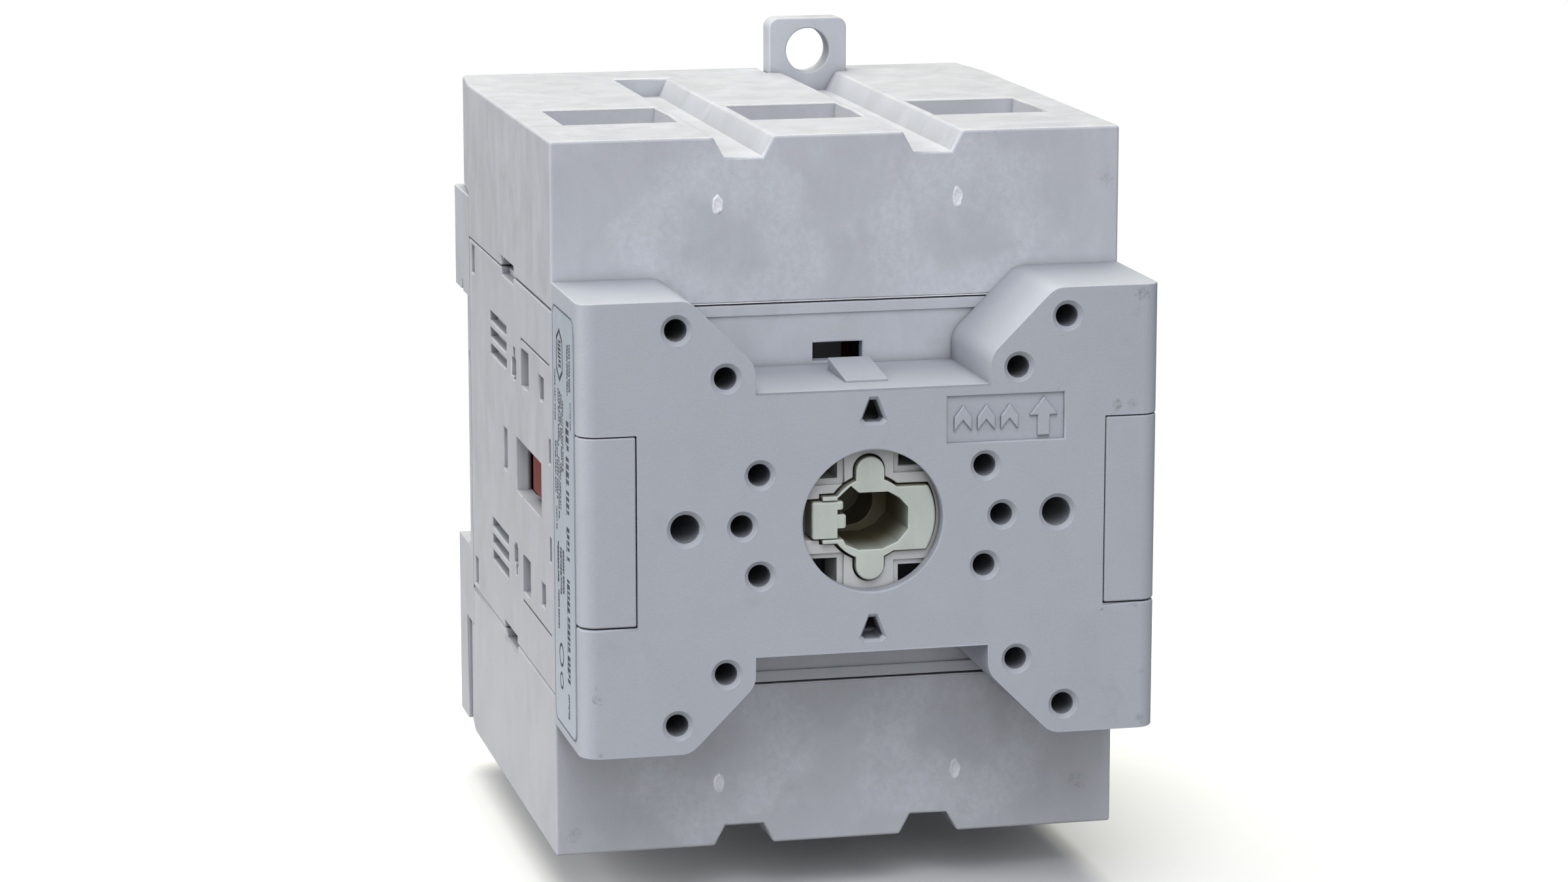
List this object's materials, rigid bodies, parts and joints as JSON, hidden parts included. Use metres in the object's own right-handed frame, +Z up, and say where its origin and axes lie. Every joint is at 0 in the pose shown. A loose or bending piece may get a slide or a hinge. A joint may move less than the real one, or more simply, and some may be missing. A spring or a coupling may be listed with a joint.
{
  "type": "rotary isolator switch",
  "caption": "Box-shaped rotary isolator with a drilled front plate, cross-shaped drive hub, clip-off terminal shrouds with cable entries, and rear feet for rail or screws.",
  "frame": {"origin": "on the drive axis, in the plane of the front face", "axes": "X across the poles, +Y from the front face back to the mounting plane, +Z up towards the top shroud"},
  "size_m": [0.0717, 0.092, 0.1036],
  "materials": {
    "front_grey": "satin moulded thermoplastic, slightly grained",
    "casing_grey": "moulded thermoplastic, faint flow marks",
    "shroud_grey": "moulded thermoplastic, blotchy flow marks",
    "label_blue": "thin printed film",
    "milky_plastic": "milky, slightly translucent",
    "mechanism_grey": "moulded",
    "gear_brown": "moulded, lubricated",
    "slide_red": "dark red moulded",
    "copper": "stamped copper, lightly oxidised",
    "silver": "silver alloy contact, satin",
    "steel": "zinc-plated steel",
    "spring_steel": "drawn spring wire",
    "latch_grey": "moulded"
  },
  "bodies": {
    "root": {"front_plate": "front_grey", "side_insert_left": "front_grey", "side_insert_right": "front_grey", "rating_label": "label_blue", "housing_body": "casing_grey", "rear_base": "casing_grey", "base_screws": "steel", "line_contacts": "copper", "load_contacts": "copper", "fixed_tips": "silver", "terminal_cages": "steel", "latch_spring": "spring_steel", "snap_spring": "spring_steel"},
    "drive": {"drive_hub": "milky_plastic", "rotor_disc": "mechanism_grey", "pinion": "gear_brown"},
    "clip": {"shaft_clip": "milky_plastic"},
    "slide": {"contact_slide": "slide_red", "contact_springs": "spring_steel"},
    "bridges": {"moving_bridges": "copper", "bridge_tips": "silver"},
    "top_shroud": {"shroud_top": "shroud_grey"},
    "bottom_shroud": {"shroud_bottom": "shroud_grey"},
    "latch": {"rail_latch": "latch_grey"},
    "clamp_1": {"pressure_plate_1": "steel"},
    "screw_1": {"clamp_screw_1": "steel"},
    "clamp_2": {"pressure_plate_2": "steel"},
    "screw_2": {"clamp_screw_2": "steel"},
    "clamp_3": {"pressure_plate_3": "steel"},
    "screw_3": {"clamp_screw_3": "steel"},
    "clamp_4": {"pressure_plate_4": "steel"},
    "screw_4": {"clamp_screw_4": "steel"},
    "clamp_5": {"pressure_plate_5": "steel"},
    "screw_5": {"clamp_screw_5": "steel"},
    "clamp_6": {"pressure_plate_6": "steel"},
    "screw_6": {"clamp_screw_6": "steel"}
  },
  "joints": [
    {"name": "drive_turn", "type": "hinge", "parent": "root", "child": "drive", "pos_m": [0, 0.012, 0], "axis": [0, 1, 0], "range_deg": [0, 90], "deforming": ["snap_spring"]},
    {"name": "clip_spring", "type": "slide", "parent": "drive", "child": "clip", "axis": [-1, 0, 0], "range_m": [0, 0.0008]},
    {"name": "slide_travel", "type": "slide", "parent": "root", "child": "slide", "axis": [1, 0, 0], "range_m": [0, 0.00786]},
    {"name": "bridge_travel", "type": "slide", "parent": "root", "child": "bridges", "axis": [1, 0, 0], "range_m": [0, 0.00706], "deforming": ["contact_springs"]},
    {"name": "top_shroud_off", "type": "slide", "parent": "root", "child": "top_shroud", "axis": [0, 0, 1], "range_m": [0, 0.02]},
    {"name": "bottom_shroud_off", "type": "slide", "parent": "root", "child": "bottom_shroud", "axis": [0, 0, -1], "range_m": [0, 0.02]},
    {"name": "latch_pull", "type": "slide", "parent": "root", "child": "latch", "axis": [0, 0, -1], "range_m": [0, 0.0035], "deforming": ["latch_spring"]},
    {"name": "clamp_travel_1", "type": "slide", "parent": "root", "child": "clamp_1", "axis": [0, 1, 0], "range_m": [0, 0.0075]},
    {"name": "screw_turn_1", "type": "hinge", "parent": "clamp_1", "child": "screw_1", "pos_m": [-0.02375, 0.021, 0.03325], "axis": [0, 1, 0], "range_deg": [0, 2161]},
    {"name": "clamp_travel_2", "type": "slide", "parent": "root", "child": "clamp_2", "axis": [0, 1, 0], "range_m": [0, 0.0075]},
    {"name": "screw_turn_2", "type": "hinge", "parent": "clamp_2", "child": "screw_2", "pos_m": [0, 0.021, 0.03325], "axis": [0, 1, 0], "range_deg": [0, 2161]},
    {"name": "clamp_travel_3", "type": "slide", "parent": "root", "child": "clamp_3", "axis": [0, 1, 0], "range_m": [0, 0.0075]},
    {"name": "screw_turn_3", "type": "hinge", "parent": "clamp_3", "child": "screw_3", "pos_m": [0.02375, 0.021, 0.03325], "axis": [0, 1, 0], "range_deg": [0, 2161]},
    {"name": "clamp_travel_4", "type": "slide", "parent": "root", "child": "clamp_4", "axis": [0, 1, 0], "range_m": [0, 0.0075]},
    {"name": "screw_turn_4", "type": "hinge", "parent": "clamp_4", "child": "screw_4", "pos_m": [-0.02375, 0.021, -0.03325], "axis": [0, 1, 0], "range_deg": [0, 2161]},
    {"name": "clamp_travel_5", "type": "slide", "parent": "root", "child": "clamp_5", "axis": [0, 1, 0], "range_m": [0, 0.0075]},
    {"name": "screw_turn_5", "type": "hinge", "parent": "clamp_5", "child": "screw_5", "pos_m": [0, 0.021, -0.03325], "axis": [0, 1, 0], "range_deg": [0, 2161]},
    {"name": "clamp_travel_6", "type": "slide", "parent": "root", "child": "clamp_6", "axis": [0, 1, 0], "range_m": [0, 0.0075]},
    {"name": "screw_turn_6", "type": "hinge", "parent": "clamp_6", "child": "screw_6", "pos_m": [0.02375, 0.021, -0.03325], "axis": [0, 1, 0], "range_deg": [0, 2161]}
  ],
  "couplings": [
    {"joint": "slide_travel", "follows": "drive_turn", "m_per_rad": 0.005},
    {"joint": "bridge_travel", "follows": "drive_turn", "m_per_rad": 0.0044907},
    {"joint": "screw_turn_1", "follows": "clamp_travel_1", "rad_per_m": 5026.5},
    {"joint": "screw_turn_2", "follows": "clamp_travel_2", "rad_per_m": 5026.5},
    {"joint": "screw_turn_3", "follows": "clamp_travel_3", "rad_per_m": 5026.5},
    {"joint": "screw_turn_4", "follows": "clamp_travel_4", "rad_per_m": 5026.5},
    {"joint": "screw_turn_5", "follows": "clamp_travel_5", "rad_per_m": 5026.5},
    {"joint": "screw_turn_6", "follows": "clamp_travel_6", "rad_per_m": 5026.5}
  ]
}
